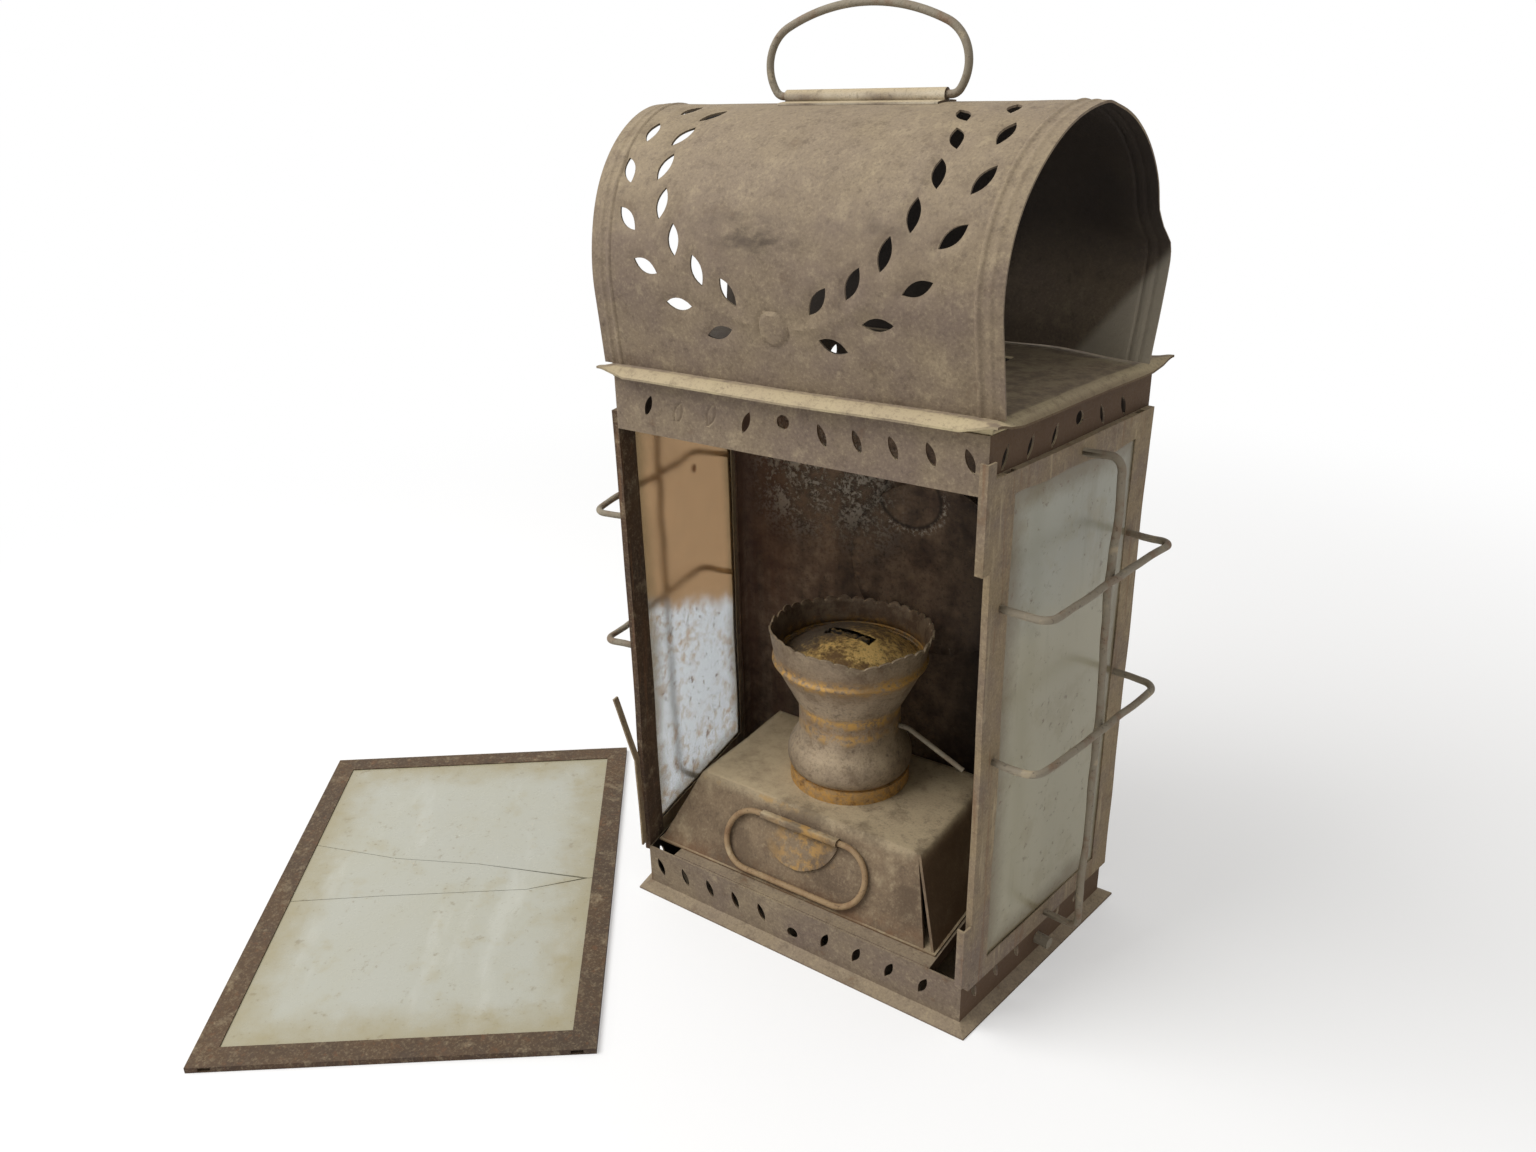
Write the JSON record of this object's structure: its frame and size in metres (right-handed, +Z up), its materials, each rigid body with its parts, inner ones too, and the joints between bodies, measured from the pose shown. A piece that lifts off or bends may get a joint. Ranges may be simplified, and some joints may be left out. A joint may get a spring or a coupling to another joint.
{
  "type": "oil hand lantern",
  "caption": "Upright tinplate lantern with glazed sides, pierced barrel hood, wire bail, a slide-out oil font with wick burner, and a lift-off glazed door.",
  "frame": {"origin": "centre of the lantern's floor sheet, on its underside", "axes": "+X to the right seen from the open front, +Y to the back wall, +Z up; the front faces -Y"},
  "size_m": [0.4027, 0.2975, 0.3719],
  "materials": {
    "base_tin": "rusted tinplate, dull and dusty",
    "wall_tin": "sooty tinplate",
    "top_tin": "rusted tinplate under pale dust",
    "frame_tin": "rusted tinplate strip",
    "wire": "dull rusted wire",
    "side_glass": "dirty translucent glass",
    "font_tin": "rusted tinplate",
    "burner_metal": "tarnished, rusty at the edges",
    "wick_cloth": "charred woven wick",
    "door_glass": "dirty cracked glass with brown edges"
  },
  "bodies": {
    "lantern_body": {"base_band": "base_tin", "base_floor": "base_tin", "font_shelf": "base_tin", "side_peg": "base_tin", "back_panel": "wall_tin", "reflector": "wall_tin", "upper_band": "wall_tin", "rim_cove": "top_tin", "top_plate": "top_tin", "hood": "top_tin", "handle_sleeve": "top_tin", "front_stile_right": "frame_tin", "rear_stile_right": "frame_tin", "bottom_rail_right": "frame_tin", "top_rail_right": "frame_tin", "front_stile_left": "frame_tin", "rear_stile_left": "frame_tin", "bottom_rail_left": "frame_tin", "top_rail_left": "frame_tin", "door_lip_upper": "frame_tin", "door_lip_lower": "frame_tin", "door_lip_torn": "frame_tin", "guard_low_right": "wire", "guard_high_right": "wire", "guard_upright_right": "wire", "guard_low_left": "wire", "guard_high_left": "wire", "guard_upright_left": "wire", "side_glass_right": "side_glass", "side_glass_left": "side_glass"},
    "bail": {"bail_handle": "wire"},
    "oil_font": {"font_base": "font_tin", "font_tank": "font_tin", "font_collar": "burner_metal", "pull_tongue": "font_tin"},
    "ring": {"pull_ring": "wire"},
    "burner": {"burner_throat": "burner_metal", "burner_air_plate": "burner_metal", "gallery_cup": "burner_metal", "flame_dome": "burner_metal", "wick_tube": "burner_metal"},
    "spindle": {"wick_spindle": "wire", "wick_wheel_right": "burner_metal", "wick_wheel_left": "burner_metal"},
    "wick": {"wick": "wick_cloth"},
    "door": {"door_stile_left": "frame_tin", "door_stile_right": "frame_tin", "door_rail_bottom": "frame_tin", "door_rail_top": "frame_tin", "door_glass_top": "door_glass", "door_glass_wedge": "door_glass", "door_glass_bottom": "door_glass"}
  },
  "joints": [
    {"name": "bail_swing", "type": "hinge", "parent": "lantern_body", "child": "bail", "pos_m": [0.001, 0, 0.34075], "axis": [1, 0, 0], "range_deg": [-95, 95]},
    {"name": "font_slide", "type": "slide", "parent": "lantern_body", "child": "oil_font", "axis": [0, -1, 0], "range_m": [0, 0.16]},
    {"name": "pull_ring_swing", "type": "hinge", "parent": "oil_font", "child": "ring", "pos_m": [-0.00698, -0.03538, 0.04988], "axis": [-1, -0.0087, 0], "range_deg": [0, 110]},
    {"name": "burner_lift", "type": "slide", "parent": "oil_font", "child": "burner", "axis": [0, 0, 1], "range_m": [0, 0.05]},
    {"name": "wick_turn", "type": "hinge", "parent": "burner", "child": "spindle", "pos_m": [-0.00709, 0.0114, 0.084], "axis": [-1, -0.0087, 0], "range_deg": [-90, 180]},
    {"name": "wick_raise", "type": "slide", "parent": "burner", "child": "wick", "axis": [0, 0, 1], "range_m": [-0.0065, 0.013]},
    {"name": "door_lift", "type": "slide", "parent": "lantern_body", "child": "door", "axis": [0, 0, 1], "range_m": [0, 0.25]}
  ],
  "couplings": [
    {"joint": "wick_raise", "follows": "wick_turn", "m_per_rad": 0.0041}
  ]
}
